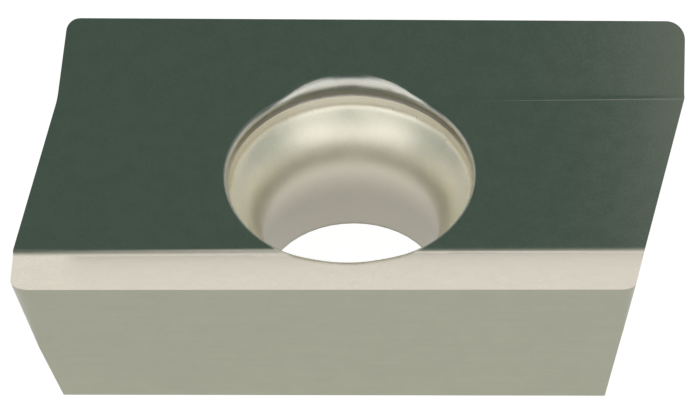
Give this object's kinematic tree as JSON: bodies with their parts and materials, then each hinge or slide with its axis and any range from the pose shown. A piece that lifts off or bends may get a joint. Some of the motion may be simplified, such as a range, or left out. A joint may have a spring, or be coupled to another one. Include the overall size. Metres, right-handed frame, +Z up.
{
  "type": "indexable carbide milling insert",
  "caption": "Parallelogram cutting insert with sloped rake faces beside two long ground edges, relieved flanks, rounded noses and a hole with a rounded seat for a clamping screw.",
  "frame": {"origin": "on the axis of the screw hole, in the plane of the flat seat", "axes": "+X along the two long cutting edges, +Z up the screw hole out of the top; the cutting noses are at -X -Y and +X +Y"},
  "size_m": [0.017, 0.0096, 0.0049],
  "materials": {
    "carbide": "uncoated tungsten carbide: polished top, finely ground flanks, as-sintered screw hole"
  },
  "bodies": {
    "root": {"insert": "carbide"}
  },
  "joints": []
}
